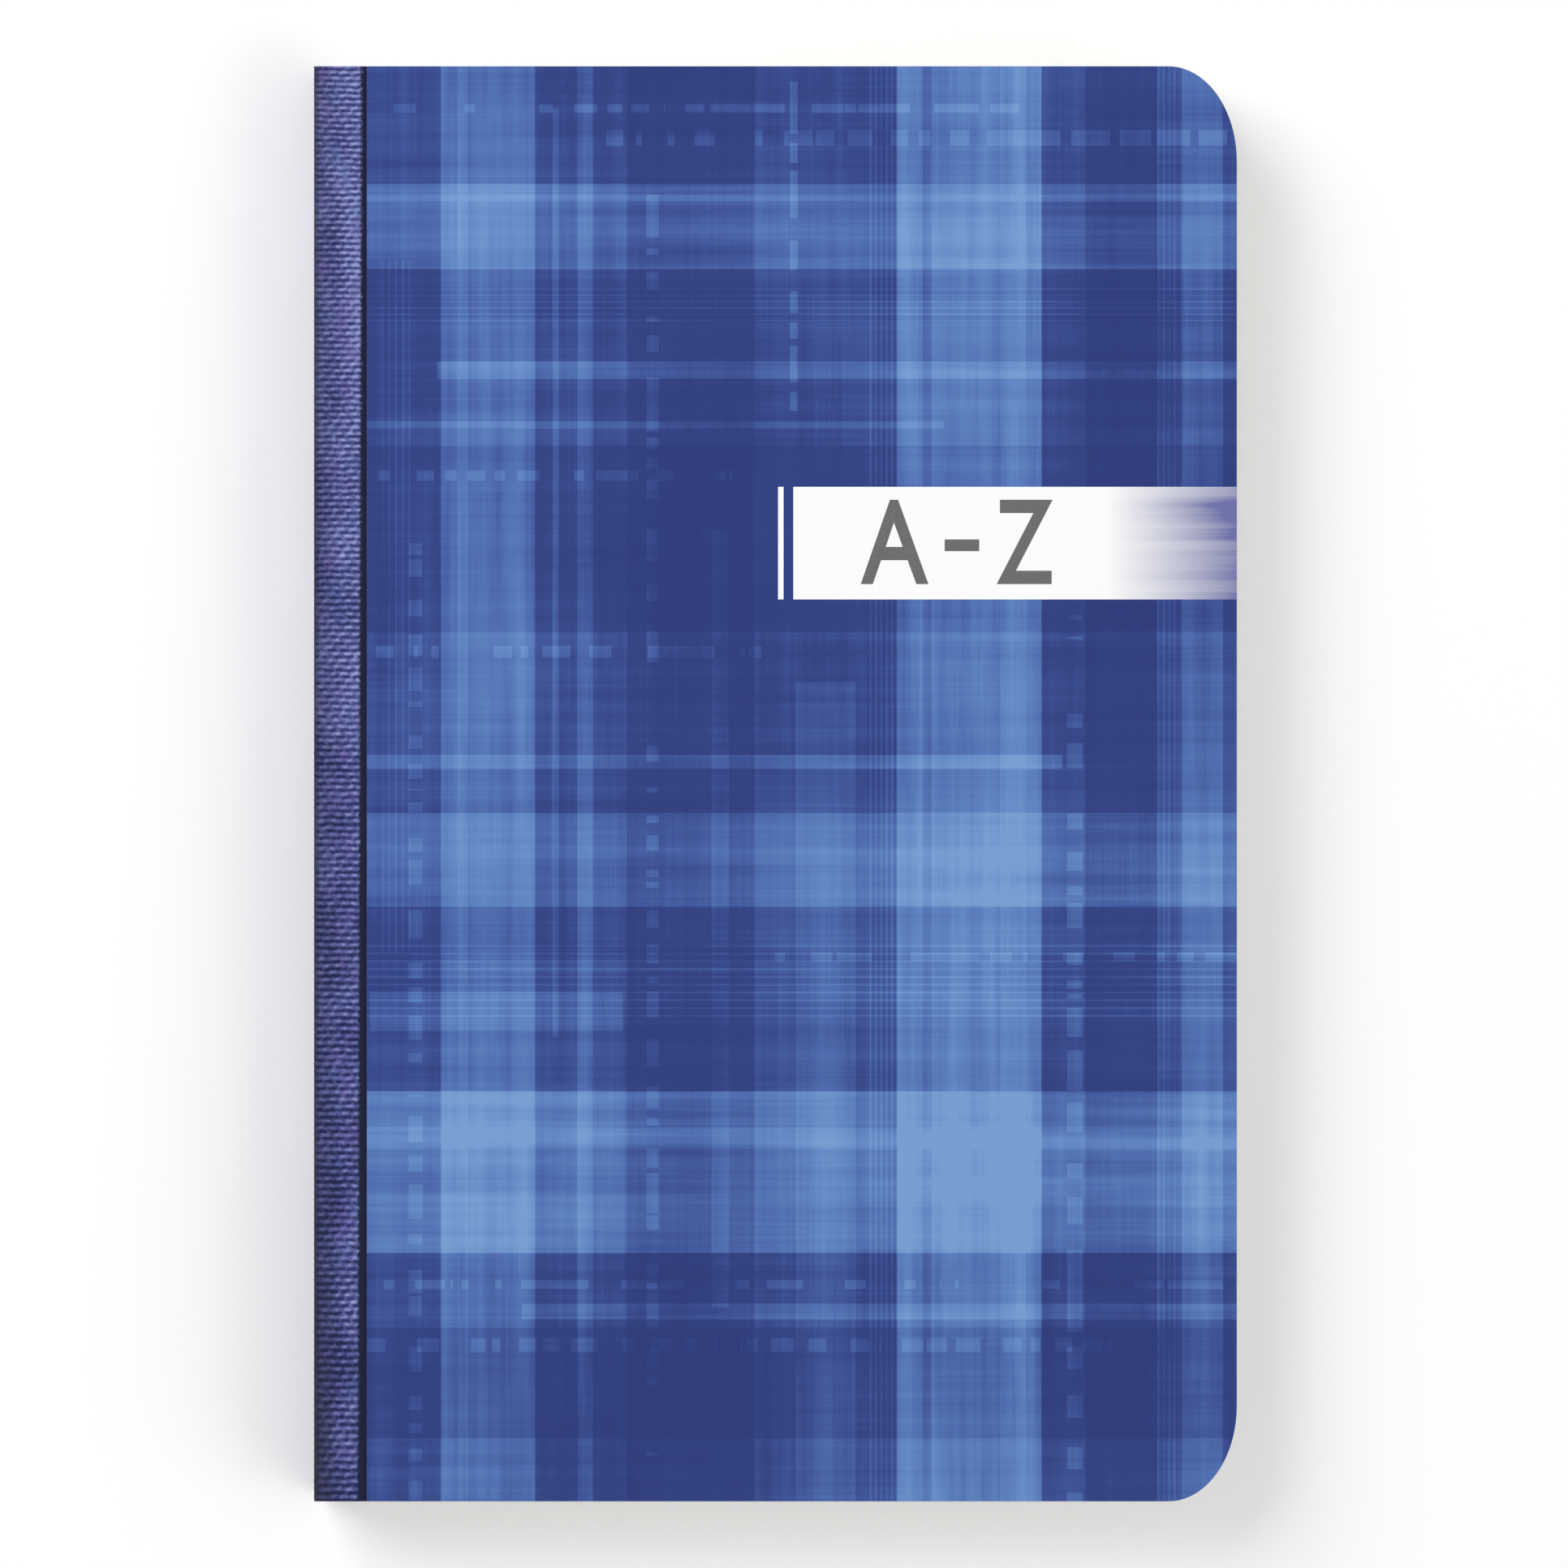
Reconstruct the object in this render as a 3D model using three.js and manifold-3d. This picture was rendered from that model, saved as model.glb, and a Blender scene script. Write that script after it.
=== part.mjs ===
// A pocket notebook with a thumb index, made as it is bound: card covers, a cloth tape over the spine,
// and twenty-four sewn sections whose fore edges are cut back in steps, one step to a letter.
// It lies on its back cover. +X runs from the spine to the fore edge, +Y to the head, +Z to the front.

import * as THREE from 'three';
import { mergeVertices } from 'three/addons/utils/BufferGeometryUtils.js';
import Module from 'manifold-3d';

const wasm = await Module();
wasm.setup();

// The trimmed book, in millimetres
const BOOK_WIDTH = 109.4;
const BOOK_HEIGHT = 170;

// The cut of the round corners runs further along the fore edge than along the head and the foot
const CORNER_WIDTH = 8.1;
const CORNER_HEIGHT = 11.3;

// Card and paper
const COVER_CARD_THICK = 0.45;
const HINGE_CARD_THICK = 0.2;
const ENDPAPER_THICK = 0.26;
const LEAF_THICK = 0.1;
const LEAVES_PER_SECTION = 4;
const PAPER_GAP = 0.04;

// The index: one section to a tab, from the head to the foot
const INDEX_LABELS = [...'ABCDEFGHIJKLMNOPQRSTUVW', 'XYZ'];
const TAB_DEPTH = 6.2;

// The spine, from the cloth inwards
const CLOTH_THICK = 0.25;
const CLOTH_BEND_RADIUS = 0.6;
const LINING_THICK = 0.2;
const THREAD_DIAMETER = 0.35;
const THREAD_CLEARANCE = 0.05;
const THREAD_COUNT = 5;
const THREAD_END_MARGIN = 17;

// The creases that the covers fold at, beside the cloth
const CREASE_FROM_SPINE = 5.83;
const CREASE_GAP = 0.4;

// Steps in a quarter turn of an outline
const ARC_STEPS = 5;
const THREAD_SIDES = 8;
const CUT_MARGIN = 1;

// Places that follow from the sizes above
const SPINE_X = -BOOK_WIDTH / 2;
const FORE_EDGE_X = BOOK_WIDTH / 2;
const HEAD_Y = BOOK_HEIGHT / 2;
const FOOT_Y = -BOOK_HEIGHT / 2;
const LINING_X = SPINE_X + CLOTH_THICK;
const THREAD_X = LINING_X + LINING_THICK;
const FOLD_X = THREAD_X + THREAD_DIAMETER + THREAD_CLEARANCE;
const STRIP_X = SPINE_X + CLOTH_BEND_RADIUS;
const CREASE_X = SPINE_X + CREASE_FROM_SPINE;
const STRIP_END_X = CREASE_X - CREASE_GAP / 2;
const BOARD_X = CREASE_X + CREASE_GAP / 2;
const SECTION_THICK = LEAVES_PER_SECTION * LEAF_THICK;
const SECTION_PITCH = SECTION_THICK + PAPER_GAP;
const TAB_HEIGHT = BOOK_HEIGHT / INDEX_LABELS.length;

// Levels, counted up from the back cover's outer face
const LAP_PROUD = Math.max(0, HINGE_CARD_THICK + CLOTH_THICK - COVER_CARD_THICK);
const BACK_BOARD_Z = LAP_PROUD;
const BACK_ENDPAPER_Z = BACK_BOARD_Z + COVER_CARD_THICK + PAPER_GAP;
const SECTIONS_Z = BACK_ENDPAPER_Z + ENDPAPER_THICK + PAPER_GAP;
const SECTIONS_TOP_Z = SECTIONS_Z + INDEX_LABELS.length * SECTION_PITCH - PAPER_GAP;
const FRONT_ENDPAPER_Z = SECTIONS_TOP_Z + PAPER_GAP;
const FRONT_BOARD_Z = FRONT_ENDPAPER_Z + ENDPAPER_THICK + PAPER_GAP;
const BACK_STRIP_TOP_Z = BACK_BOARD_Z + COVER_CARD_THICK;
const BACK_STRIP_Z = BACK_STRIP_TOP_Z - HINGE_CARD_THICK;
const FRONT_STRIP_TOP_Z = FRONT_BOARD_Z + HINGE_CARD_THICK;

// Finishes
const printedCard = new THREE.MeshStandardMaterial({ color: 0x4f65a2, roughness: 0.25, metalness: 0 });
const wovenCloth = new THREE.MeshStandardMaterial({ color: 0x4f5483, roughness: 0.9, metalness: 0 });
const whitePaper = new THREE.MeshStandardMaterial({ color: 0xf2f0e8, roughness: 0.85, metalness: 0 });
const endPaper = new THREE.MeshStandardMaterial({ color: 0xe9ebf2, roughness: 0.8, metalness: 0 });
const gluedLining = new THREE.MeshStandardMaterial({ color: 0xe4ddc8, roughness: 0.8, metalness: 0 });
const whiteThread = new THREE.MeshStandardMaterial({ color: 0xf5f3ea, roughness: 0.7, metalness: 0 });

const notebook = new THREE.Group();

function addPiece(name, geometry, material) {
  const piece = new THREE.Mesh(geometry, material);
  piece.name = name;
  notebook.add(piece);
}

// A block between two corners
function block(xFrom, xTo, yFrom, yTo, zFrom, zTo) {
  const geometry = new THREE.BoxGeometry(xTo - xFrom, yTo - yFrom, zTo - zFrom);
  geometry.translate((xFrom + xTo) / 2, (yFrom + yTo) / 2, (zFrom + zTo) / 2);
  return geometry;
}

// The trimmed outline seen from the front, square at the spine and round at the fore edge
function trimmedOutline(leftX) {
  const centreX = FORE_EDGE_X - CORNER_WIDTH;
  const centreY = HEAD_Y - CORNER_HEIGHT;
  const outline = new THREE.Shape();
  outline.moveTo(leftX, HEAD_Y);
  outline.lineTo(leftX, FOOT_Y);
  outline.absellipse(centreX, -centreY, CORNER_WIDTH, CORNER_HEIGHT, -Math.PI / 2, 0, false);
  outline.absellipse(centreX, centreY, CORNER_WIDTH, CORNER_HEIGHT, 0, Math.PI / 2, false);
  outline.closePath();
  return outline;
}

// A flat sheet of that outline between two levels
function trimmedSheet(leftX, zFrom, zTo) {
  const outline = trimmedOutline(leftX);
  const options = { depth: zTo - zFrom, bevelEnabled: false, curveSegments: ARC_STEPS };
  const geometry = new THREE.ExtrudeGeometry(outline, options);
  geometry.translate(0, 0, zFrom);
  return geometry;
}

// A profile drawn in X and Z, run from the foot to the head and past both by a margin
function alongSpine(profile, margin) {
  const options = { depth: BOOK_HEIGHT + 2 * margin, bevelEnabled: false, curveSegments: ARC_STEPS };
  const geometry = new THREE.ExtrudeGeometry(profile, options);
  geometry.rotateX(Math.PI / 2);
  geometry.translate(0, HEAD_Y + margin, 0);
  return geometry;
}

// A folded sheet's profile: a half-round fold at the spine, open past the fore edge
function foldedProfile(zFrom, zTo) {
  const radius = (zTo - zFrom) / 2;
  const profile = new THREE.Shape();
  profile.moveTo(FORE_EDGE_X + CUT_MARGIN, zFrom);
  profile.lineTo(FORE_EDGE_X + CUT_MARGIN, zTo);
  profile.lineTo(FOLD_X + radius, zTo);
  profile.absarc(FOLD_X + radius, zFrom + radius, radius, Math.PI / 2, 1.5 * Math.PI, false);
  profile.closePath();
  return profile;
}

// Solids that can be cut, and back again
function toSolid(geometry) {
  const bare = geometry.clone();
  bare.deleteAttribute('normal');
  bare.deleteAttribute('uv');
  const merged = mergeVertices(bare);
  const mesh = new wasm.Mesh({
    numProp: 3,
    vertProperties: new Float32Array(merged.attributes.position.array),
    triVerts: new Uint32Array(merged.index.array),
  });
  return new wasm.Manifold(mesh);
}

function toGeometry(solid) {
  const mesh = solid.getMesh();
  const geometry = new THREE.BufferGeometry();
  geometry.setAttribute('position', new THREE.BufferAttribute(new Float32Array(mesh.vertProperties), 3));
  geometry.setIndex(new THREE.BufferAttribute(new Uint32Array(mesh.triVerts), 1));
  geometry.computeVertexNormals();
  return geometry;
}

// Sheets folded at the spine and trimmed with the covers
function foldedSheets(zFrom, zTo) {
  const trimmed = toSolid(trimmedSheet(SPINE_X, zFrom - CUT_MARGIN, zTo + CUT_MARGIN));
  const folded = toSolid(alongSpine(foldedProfile(zFrom, zTo), CUT_MARGIN));
  return trimmed.intersect(folded);
}

// What the index cutter takes off a section, below its own tab
function indexCut(tabFootY, zFrom, zTo) {
  const left = FORE_EDGE_X - TAB_DEPTH;
  const right = FORE_EDGE_X + CUT_MARGIN;
  return toSolid(block(left, right, FOOT_Y - CUT_MARGIN, tabFootY, zFrom - CUT_MARGIN, zTo + CUT_MARGIN));
}

// Sections: section A lies on top and has the tab at the head
INDEX_LABELS.forEach((label, row) => {
  const zTo = SECTIONS_TOP_Z - row * SECTION_PITCH;
  const zFrom = zTo - SECTION_THICK;
  const tabFootY = HEAD_Y - (row + 1) * TAB_HEIGHT;
  const isLast = row === INDEX_LABELS.length - 1;
  const sheets = foldedSheets(zFrom, zTo);
  const section = isLast ? sheets : sheets.subtract(indexCut(tabFootY, zFrom, zTo));
  addPiece(`section_${label}`, toGeometry(section), whitePaper);
});

// Endpapers: one folded sheet in front of the sections and one behind them
const frontEndpaper = foldedSheets(FRONT_ENDPAPER_Z, FRONT_ENDPAPER_Z + ENDPAPER_THICK);
const backEndpaper = foldedSheets(BACK_ENDPAPER_Z, BACK_ENDPAPER_Z + ENDPAPER_THICK);
addPiece('front_endpaper', toGeometry(frontEndpaper), endPaper);
addPiece('back_endpaper', toGeometry(backEndpaper), endPaper);

// Covers: a board from the crease to the fore edge, and a pressed strip from the crease to the spine
addPiece(
  'front_cover_board',
  trimmedSheet(BOARD_X, FRONT_BOARD_Z, FRONT_BOARD_Z + COVER_CARD_THICK),
  printedCard,
);
addPiece(
  'front_cover_hinge_strip',
  block(STRIP_X, STRIP_END_X, FOOT_Y, HEAD_Y, FRONT_BOARD_Z, FRONT_STRIP_TOP_Z),
  printedCard,
);
addPiece(
  'back_cover_board',
  trimmedSheet(BOARD_X, BACK_BOARD_Z, BACK_BOARD_Z + COVER_CARD_THICK),
  printedCard,
);
addPiece(
  'back_cover_hinge_strip',
  block(STRIP_X, STRIP_END_X, FOOT_Y, HEAD_Y, BACK_STRIP_Z, BACK_STRIP_TOP_Z),
  printedCard,
);

// Cloth tape: a lap on each cover's hinge strip
addPiece(
  'spine_cloth_front_lap',
  block(STRIP_X, STRIP_END_X, FOOT_Y, HEAD_Y, FRONT_STRIP_TOP_Z, FRONT_STRIP_TOP_Z + CLOTH_THICK),
  wovenCloth,
);
addPiece(
  'spine_cloth_back_lap',
  block(STRIP_X, STRIP_END_X, FOOT_Y, HEAD_Y, BACK_STRIP_Z - CLOTH_THICK, BACK_STRIP_Z),
  wovenCloth,
);

// Cloth tape: the width across the spine, bent round at both covers
function clothOverSpine() {
  const clothBottomZ = BACK_STRIP_Z - CLOTH_THICK;
  const clothTopZ = FRONT_STRIP_TOP_Z + CLOTH_THICK;
  const innerRadius = CLOTH_BEND_RADIUS - CLOTH_THICK;
  const lowCentreZ = clothBottomZ + CLOTH_BEND_RADIUS;
  const highCentreZ = clothTopZ - CLOTH_BEND_RADIUS;
  const profile = new THREE.Shape();
  profile.moveTo(STRIP_X, clothTopZ);
  profile.absarc(STRIP_X, highCentreZ, CLOTH_BEND_RADIUS, Math.PI / 2, Math.PI, false);
  profile.absarc(STRIP_X, lowCentreZ, CLOTH_BEND_RADIUS, Math.PI, 1.5 * Math.PI, false);
  profile.absarc(STRIP_X, lowCentreZ, innerRadius, 1.5 * Math.PI, Math.PI, true);
  profile.absarc(STRIP_X, highCentreZ, innerRadius, Math.PI, Math.PI / 2, true);
  profile.closePath();
  return alongSpine(profile, 0);
}
addPiece('spine_cloth', clothOverSpine(), wovenCloth);

// Spine lining: glued crepe between the cloth and the folds, short of the cloth's bends
const liningZFrom = BACK_STRIP_Z - CLOTH_THICK + CLOTH_BEND_RADIUS + PAPER_GAP;
const liningZTo = FRONT_STRIP_TOP_Z + CLOTH_THICK - CLOTH_BEND_RADIUS - PAPER_GAP;
addPiece(
  'spine_lining',
  block(LINING_X, LINING_X + LINING_THICK, FOOT_Y, HEAD_Y, liningZFrom, liningZTo),
  gluedLining,
);

// Sewing: at each station a thread links all the folds, from the first section to the last
const threadPitch = (BOOK_HEIGHT - 2 * THREAD_END_MARGIN) / (THREAD_COUNT - 1);
for (let station = 0; station < THREAD_COUNT; station += 1) {
  const height = SECTIONS_TOP_Z - SECTIONS_Z;
  const thread = new THREE.CylinderGeometry(THREAD_DIAMETER / 2, THREAD_DIAMETER / 2, height, THREAD_SIDES);
  thread.rotateX(Math.PI / 2);
  const y = HEAD_Y - THREAD_END_MARGIN - station * threadPitch;
  thread.translate(THREAD_X + THREAD_DIAMETER / 2, y, SECTIONS_Z + height / 2);
  addPiece(`sewing_thread_${station + 1}`, thread, whiteThread);
}

export default notebook;
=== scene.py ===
import math

import bmesh
import bpy
from mathutils import Matrix, Vector


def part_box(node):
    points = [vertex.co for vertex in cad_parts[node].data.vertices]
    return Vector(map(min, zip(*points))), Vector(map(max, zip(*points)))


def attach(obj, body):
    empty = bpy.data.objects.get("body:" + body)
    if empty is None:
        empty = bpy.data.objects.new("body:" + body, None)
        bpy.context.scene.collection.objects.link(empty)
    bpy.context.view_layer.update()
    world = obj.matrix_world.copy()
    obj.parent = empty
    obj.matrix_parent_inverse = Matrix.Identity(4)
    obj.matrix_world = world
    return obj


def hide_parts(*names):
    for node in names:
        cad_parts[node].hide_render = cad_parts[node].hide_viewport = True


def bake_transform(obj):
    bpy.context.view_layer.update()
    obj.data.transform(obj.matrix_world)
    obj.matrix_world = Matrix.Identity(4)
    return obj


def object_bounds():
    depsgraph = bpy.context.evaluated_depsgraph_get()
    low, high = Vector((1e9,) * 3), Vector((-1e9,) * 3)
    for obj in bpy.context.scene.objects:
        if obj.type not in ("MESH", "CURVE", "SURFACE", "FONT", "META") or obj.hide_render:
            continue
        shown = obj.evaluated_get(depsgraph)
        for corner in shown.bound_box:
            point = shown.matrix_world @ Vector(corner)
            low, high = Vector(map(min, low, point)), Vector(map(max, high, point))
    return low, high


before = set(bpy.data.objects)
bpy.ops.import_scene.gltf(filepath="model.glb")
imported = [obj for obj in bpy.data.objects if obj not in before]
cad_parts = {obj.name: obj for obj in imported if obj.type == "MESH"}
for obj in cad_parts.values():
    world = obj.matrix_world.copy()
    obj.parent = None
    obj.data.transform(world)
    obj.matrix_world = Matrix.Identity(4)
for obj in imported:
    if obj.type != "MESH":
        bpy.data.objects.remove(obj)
cad_box = [list(corner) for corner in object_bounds()]


# Sections. Each section of the book is two sheets of writing paper, one folded inside the other, so
# it has four leaves. The index cutter takes the fore edge off below the section's own tab, and the
# tab carries its letter in dark blue ink. The folds are sewn and glued to the spine.
MM = 0.001
NEAR = 0.0001 * MM  # points closer than this are one
INDEX_LABELS = [*"ABCDEFGHIJKLMNOPQRSTUVW", "XYZ"]
SECTION_THICK = 0.4 * MM
SHEETS_IN_SECTION = 2
LEAF_THICK = 0.09 * MM
LEAF_GAP = (SECTION_THICK - 2 * SHEETS_IN_SECTION * LEAF_THICK) / (2 * SHEETS_IN_SECTION - 1)
RULE_PITCH = 7 * MM
RULE_WIDTH = 0.16 * MM
RULE_MARGIN = 9 * MM  # unruled at the spine and the foot
RULE_HEAD_MARGIN = 16 * MM
RULE_TAB_MARGIN = 4 * MM  # between the rules and the index tabs
RULE_SOFT = 0.05 * MM
TAB_DEPTH = 6.2 * MM
TAB_LETTER_TALL = 3.1 * MM
TAB_LETTERS_TALL = 2.2 * MM  # where a tab has three
TAB_MARGIN = 0.4 * MM
TAB_LETTER_LIMIT = 80.7 * MM  # keeps the first and last tab's letters off the round corners
TYPE_TO_CAPITALS = 1.4  # the size of type to the height of its capitals
INK_STANDS = 0.004 * MM
CORNER_WIDTH = 8.1 * MM
CORNER_HEIGHT = 11.3 * MM
CORNER_STEPS = 20
FOLD_ALLOWANCE = 1 * MM  # the width given to the round of the fold on the flat sheet
FOLD_STEPS = 4
BEND_FROM = 0.15 * MM  # how far from the back of the fold a turned leaf starts to bend, and ends
BEND_TO = 2.1 * MM
BEND_STEPS = 14

book_low, book_high = (Vector(corner) for corner in cad_box)
tab_from = book_high.x - TAB_DEPTH
tab_height = (book_high.y - book_low.y) / len(INDEX_LABELS)


def connect(tree, node, inputs):
    """Gives a node's inputs their values or links."""
    for key, value in inputs.items():
        if isinstance(value, bpy.types.NodeSocket):
            tree.links.new(value, node.inputs[key])
        else:
            node.inputs[key].default_value = value


def place(tree, kind, inputs=None, **settings):
    """Adds a node with its inputs and settings."""
    node = tree.nodes.new(kind)
    for name, value in settings.items():
        setattr(node, name, value)
    connect(tree, node, inputs or {})
    return node


def made(tree, kind, inputs=None, **settings):
    """What a node puts out first."""
    return place(tree, kind, inputs, **settings).outputs[0]


def maths(tree, operation, *values):
    """A Math node's result."""
    return made(tree, "ShaderNodeMath", dict(enumerate(values)), operation=operation)


def scaled(tree, value, by, plus):
    """A value times another, plus a third."""
    return maths(tree, "MULTIPLY_ADD", value, by, plus)


def product(tree, first, *others):
    """Values multiplied together."""
    for other in others:
        first = maths(tree, "MULTIPLY", first, other)
    return first


def ramped(tree, value, low, high, most=1.0, least=0.0):
    """Goes from least to most as a value goes from low to high."""
    limits = {"Value": value, "From Min": low, "From Max": high, "To Min": least, "To Max": most}
    return made(tree, "ShaderNodeMapRange", limits)


def between(tree, value, low, high, soft):
    """1 from low to high, fading to 0 over soft outside them."""
    return product(tree, ramped(tree, value, low - soft, low), ramped(tree, value, high + soft, high))


def srgb(red, green, blue):
    """A colour written as 0 to 255, for a socket."""
    def linear(level):
        share = level / 255
        return share / 12.92 if share <= 0.04045 else ((share + 0.055) / 1.055) ** 2.4
    return (linear(red), linear(green), linear(blue), 1)


def blended(tree, share, first, second):
    """One colour turning into a second by a share."""
    mix = place(tree, "ShaderNodeMix", {"Factor": share, "A": first, "B": second}, data_type="RGBA")
    return mix.outputs["Result"]


def relief(tree, strength, depth, height):
    """The normal of a fine relief."""
    return made(tree, "ShaderNodeBump", {"Strength": strength, "Distance": depth, "Height": height})


def finish_named(name):
    """A new material, its tree and its Principled BSDF."""
    material = bpy.data.materials.new(name)
    material.use_nodes = True
    return material, material.node_tree, material.node_tree.nodes["Principled BSDF"]


def rest_places(tree):
    """A point's place in the closed book, whole and as X, Y and Z. It stays with paper that bends."""
    kept = place(tree, "ShaderNodeAttribute", attribute_name="closed_place").outputs["Vector"]
    return kept, *place(tree, "ShaderNodeSeparateXYZ", {"Vector": kept}).outputs


def node_group(name, kind, inputs, outputs):
    """An empty node group with named inputs and outputs, and its inputs' sockets."""
    group = bpy.data.node_groups.new(name, kind)
    for in_out, sockets in (("INPUT", inputs), ("OUTPUT", outputs)):
        for title, socket in sockets.items():
            group.interface.new_socket(title, in_out=in_out, socket_type=f"NodeSocket{socket}")
    return group, place(group, "NodeGroupInput").outputs


def grain_group():
    """Shader group: noise drawn out to fibres, wrinkles or streaks, so many to a metre each way."""
    inputs = {"Place": "Vector", "To a Metre": "Vector", "Detail": "Float", "Seed": "Float"}
    group, given = node_group("grain", "ShaderNodeTree", inputs, {"Grain": "Float"})
    stretch = {0: given["Place"], 1: given["To a Metre"], 2: given["Seed"]}
    drawn = made(group, "ShaderNodeVectorMath", stretch, operation="MULTIPLY_ADD")
    noise = made(group, "ShaderNodeTexNoise", {"Vector": drawn, "Scale": 1, "Detail": given["Detail"]})
    place(group, "NodeGroupOutput", {"Grain": noise})
    return group


def grained(tree, place_at, to_a_metre, detail=2, seed=0):
    """Places the grain group with its own values."""
    values = {"Place": place_at, "To a Metre": to_a_metre, "Detail": detail, "Seed": seed}
    return made(tree, "ShaderNodeGroup", values, node_tree=grain)


def paper_grain_group():
    """Shader group: the fibre of uncoated paper, and the shadow between sheets on its cut edges."""
    inputs = {"Place": "Vector", "Tint": "Color", "Between Sheets": "Color", "Cut Edge": "Float"}
    outputs = {"Colour": "Color", "Tooth": "Float", "Dullness": "Float"}
    group, given = node_group("paper_grain", "ShaderNodeTree", inputs, outputs)
    fibre = grained(group, given["Place"], (2600, 2600, 2600), 3)
    cloud = grained(group, given["Place"], (60, 60, 60))
    mottle = product(group, maths(group, "ADD", fibre, cloud), 0.5)
    tints = {"Factor": 1.0, "A": given["Tint"], "B": (0.93, 0.93, 0.93, 1)}
    darker = place(group, "ShaderNodeMix", tints, data_type="RGBA", blend_type="MULTIPLY").outputs["Result"]
    sheet = grained(group, given["Place"], (25, 25, 16000))
    shaded = product(group, ramped(group, sheet, 0.62, 0.35, 0.4), given["Cut Edge"])
    mottled = blended(group, mottle, darker, given["Tint"])
    place(group, "NodeGroupOutput", {
        "Colour": blended(group, shaded, mottled, given["Between Sheets"]),
        "Tooth": fibre,
        "Dullness": ramped(group, fibre, 0.0, 1.0, 0.9, 0.75),
    })
    return group


def ink_grain_group():
    """Shader group: printing ink, a little thinner where the paper's tooth breaks it."""
    inputs = {"Place": "Vector", "Ink": "Color", "Rubbed": "Color"}
    group, given = node_group("ink_grain", "ShaderNodeTree", inputs, {"Colour": "Color"})
    thin = ramped(group, grained(group, given["Place"], (3000, 3000, 3000)), 0.55, 0.8)
    place(group, "NodeGroupOutput", {"Colour": blended(group, thin, given["Ink"], given["Rubbed"])})
    return group


def paper_finish(name, tint, ruled=False):
    """Uncoated paper, with printed rules where people write on it."""
    material, tree, shader = finish_named(name)
    place_at, x, y, _ = rest_places(tree)
    cut = place(tree, "ShaderNodeAttribute", attribute_name="cut_edge").outputs["Fac"]
    values = {"Place": place_at, "Tint": tint, "Between Sheets": srgb(168, 160, 146), "Cut Edge": cut}
    paper = place(tree, "ShaderNodeGroup", values, node_tree=paper_grain).outputs
    colour = paper["Colour"]
    if ruled:
        phase = maths(tree, "FRACT", maths(tree, "DIVIDE", y, RULE_PITCH))
        line = maths(tree, "LESS_THAN", phase, RULE_WIDTH / RULE_PITCH)
        rules_end = tab_from - RULE_TAB_MARGIN
        across = between(tree, x, book_low.x + RULE_MARGIN, rules_end, RULE_SOFT)
        down = between(tree, y, book_low.y + RULE_MARGIN, book_high.y - RULE_HEAD_MARGIN, RULE_SOFT)
        colour = blended(tree, product(tree, line, across, down, 0.75), colour, srgb(150, 160, 196))
    tooth = relief(tree, 0.15, 0.02 * MM, paper["Tooth"])
    connect(tree, shader, {"Base Color": colour, "Normal": tooth, "Roughness": paper["Dullness"]})
    return material


def ink_finish(name, ink, wear_and_shade, roughness):
    """Printing ink on paper or on a laminated cover."""
    material, tree, shader = finish_named(name)
    place_at, *_ = rest_places(tree)
    colours = {"Place": place_at, "Ink": ink, "Rubbed": wear_and_shade}
    inked = made(tree, "ShaderNodeGroup", colours, node_tree=ink_grain)
    connect(tree, shader, {"Base Color": inked, "Roughness": roughness})
    return material


grain = grain_group()
paper_grain = paper_grain_group()
ink_grain = ink_grain_group()
leaf_paper = paper_finish("leaf_paper", srgb(244, 242, 234), ruled=True)
index_ink = ink_finish("index_ink", srgb(44, 54, 104), srgb(96, 104, 146), roughness=0.6)


def fore_edge_at(y):
    """How far out the trimmed fore edge lies at a height, with its round corners."""
    past = max(0, abs(y) - (book_high.y - CORNER_HEIGHT)) / CORNER_HEIGHT
    return book_high.x - CORNER_WIDTH * (1 - math.sqrt(1 - past**2))


def trimmed_outline(left):
    """The book's trimmed outline from a line near the spine to the fore edge, anticlockwise."""
    centre_x = book_high.x - CORNER_WIDTH
    centre_y = book_high.y - CORNER_HEIGHT
    turns = [i * math.pi / 2 / CORNER_STEPS for i in range(CORNER_STEPS + 1)]
    head = [(centre_x + CORNER_WIDTH * math.cos(t), centre_y + CORNER_HEIGHT * math.sin(t)) for t in turns]
    foot = [(x, -y) for x, y in reversed(head)]
    return [(left, book_low.y), *foot, *head, (left, book_high.y)]


def flat_panel(outline, lines):
    """A flat panel of an outline, split along upright lines so that it can bend there."""
    panel = bmesh.new()
    panel.faces.new([panel.verts.new((x, y, 0)) for x, y in outline])
    for x in lines:
        parts = panel.verts[:] + panel.edges[:] + panel.faces[:]
        bmesh.ops.bisect_plane(panel, geom=parts, plane_co=(x, 0, 0), plane_no=(1, 0, 0), dist=NEAR)
    return panel


def geometry_tree(name, lengths, **others):
    """An empty geometry tree that takes lengths and other inputs, and its inputs' sockets."""
    inputs = {"Geometry": "Geometry", **others, **dict.fromkeys(lengths, "Float")}
    return node_group(name, "GeometryNodeTree", inputs, {"Geometry": "Geometry"})


def end_tree(tree, geometry, material):
    """Puts out what a geometry tree made, in its material."""
    real = made(tree, "GeometryNodeRealizeInstances", {"Geometry": geometry})
    finished = made(tree, "GeometryNodeSetMaterial", {"Geometry": real, "Material": material})
    place(tree, "NodeGroupOutput", {"Geometry": finished})
    return tree


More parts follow.
